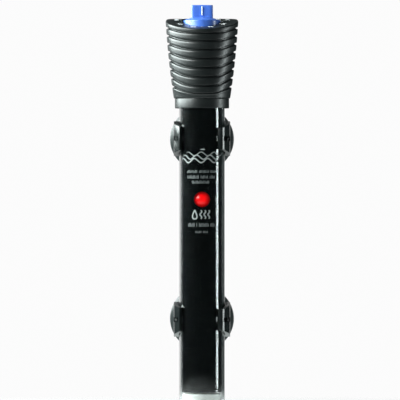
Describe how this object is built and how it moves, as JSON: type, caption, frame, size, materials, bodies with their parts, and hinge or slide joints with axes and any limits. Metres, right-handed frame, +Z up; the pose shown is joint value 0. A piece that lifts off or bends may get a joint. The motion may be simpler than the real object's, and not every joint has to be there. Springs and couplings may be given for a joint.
{
  "type": "submersible aquarium heater",
  "caption": "Slim black glass tube heater with a ribbed tapered cap, a blue temperature dial, a red light and suction-cup clips.",
  "frame": {"origin": "middle of the upper suction cup, on the aquarium wall that it sticks to", "axes": "+Z up along the tube, +Y into the wall, so the light and the front of the cap face -Y; +X to the right seen from the front"},
  "size_m": [0.0384, 0.0457, 0.217],
  "materials": {
    "glass": "polished clear borosilicate glass",
    "sleeve_black": "smooth black sleeve",
    "cap_black": "satin black, slightly rubbery",
    "plastic_black": "moulded black plastic",
    "clip_black": "glossy moulded black plastic",
    "cup_black": "glossy soft black rubber",
    "rubber_black": "matt black rubber",
    "rubber_grey": "matt dark grey rubber",
    "dial_blue": "satin blue plastic",
    "lamp_red": "glowing clear red plastic",
    "ceramic_white": "unglazed white steatite",
    "ceramic_grey": "unglazed grey ceramic",
    "mica": "mica sheet",
    "white_pad": "pressed white glass wool",
    "nichrome": "oxidised resistance wire",
    "steel": "plated sheet steel",
    "brass": "turned brass",
    "bimetal": "rolled bimetal strip",
    "spring_copper": "spring copper alloy",
    "silver": "silver alloy",
    "tinned": "tinned copper",
    "magnet_grey": "dark grey ferrite or epoxy",
    "board_green": "green solder mask",
    "resistor_tan": "lacquered body",
    "capacitor_orange": "lacquered disc",
    "wire_white": "insulation",
    "wire_blue": "insulation",
    "wire_brown": "insulation"
  },
  "bodies": {
    "heater": {"glass_tube": "glass", "light_shield_sleeve": "sleeve_black", "bottom_cushion": "white_pad", "lower_core_disc": "ceramic_grey", "heater_core": "ceramic_white", "heating_coil": "nichrome", "upper_core_disc": "ceramic_grey", "heat_shield_disc": "mica", "live_crimp": "tinned", "neutral_crimp": "tinned", "element_wire": "wire_white", "neutral_wire": "wire_blue", "live_wire": "wire_brown", "thermostat_frame": "steel", "left_support_rod": "steel", "right_support_rod": "steel", "bimetal_clamp": "ceramic_white", "bimetal_screw": "brass", "snap_magnet": "magnet_grey", "arm_insulator": "ceramic_white", "indicator_board": "board_green", "indicator_lamp": "lamp_red", "lamp_resistor": "resistor_tan", "lamp_diode": "magnet_grey", "suppressor_capacitor": "capacitor_orange", "seal_bung": "rubber_grey", "dial_housing": "plastic_black", "ribbed_cap": "cap_black", "cap_collar": "cap_black", "cord_gland": "rubber_black"},
    "dial": {"temperature_dial": "dial_blue", "dial_spindle": "plastic_black", "upper_o_ring": "rubber_black", "lower_o_ring": "rubber_black", "spindle_clip": "steel", "adjusting_screw": "brass"},
    "arm": {"contact_arm": "spring_copper", "fixed_contact": "silver"},
    "bimetal": {"bimetal_strip": "bimetal", "armature_plate": "steel", "moving_contact": "silver"},
    "upper_holder": {"upper_clip": "clip_black"},
    "upper_cup": {"upper_suction_cup": "cup_black"},
    "lower_holder": {"lower_clip": "clip_black"},
    "lower_cup": {"lower_suction_cup": "cup_black"}
  },
  "joints": [
    {"name": "dial_turn", "type": "hinge", "parent": "heater", "child": "dial", "pos_m": [0, -0.0265, 0.0552], "axis": [0, 0, 1], "range_deg": [-135, 135]},
    {"name": "arm_flex", "type": "hinge", "parent": "heater", "child": "arm", "pos_m": [0, -0.0221, -0.0131], "axis": [1, 0, 0], "range_deg": [-2.6, 2.6]},
    {"name": "bimetal_bend", "type": "hinge", "parent": "heater", "child": "bimetal", "pos_m": [0, -0.0246, -0.0386], "axis": [1, 0, 0], "range_deg": [0, 2]},
    {"name": "upper_clip_slide", "type": "slide", "parent": "heater", "child": "upper_holder", "axis": [0, 0, 1], "range_m": [-0.028, 0.006]},
    {"name": "lower_clip_slide", "type": "slide", "parent": "heater", "child": "lower_holder", "axis": [0, 0, 1], "range_m": [-0.028, 0.028]},
    {"name": "upper_cup_spin", "type": "hinge", "parent": "upper_holder", "child": "upper_cup", "pos_m": [0, 0, 0], "axis": [0, 1, 0], "continuous": true},
    {"name": "lower_cup_spin", "type": "hinge", "parent": "lower_holder", "child": "lower_cup", "pos_m": [0, 0, -0.0954], "axis": [0, 1, 0], "continuous": true}
  ],
  "couplings": [
    {"joint": "arm_flex", "follows": "dial_turn", "ratio": -0.018086}
  ]
}
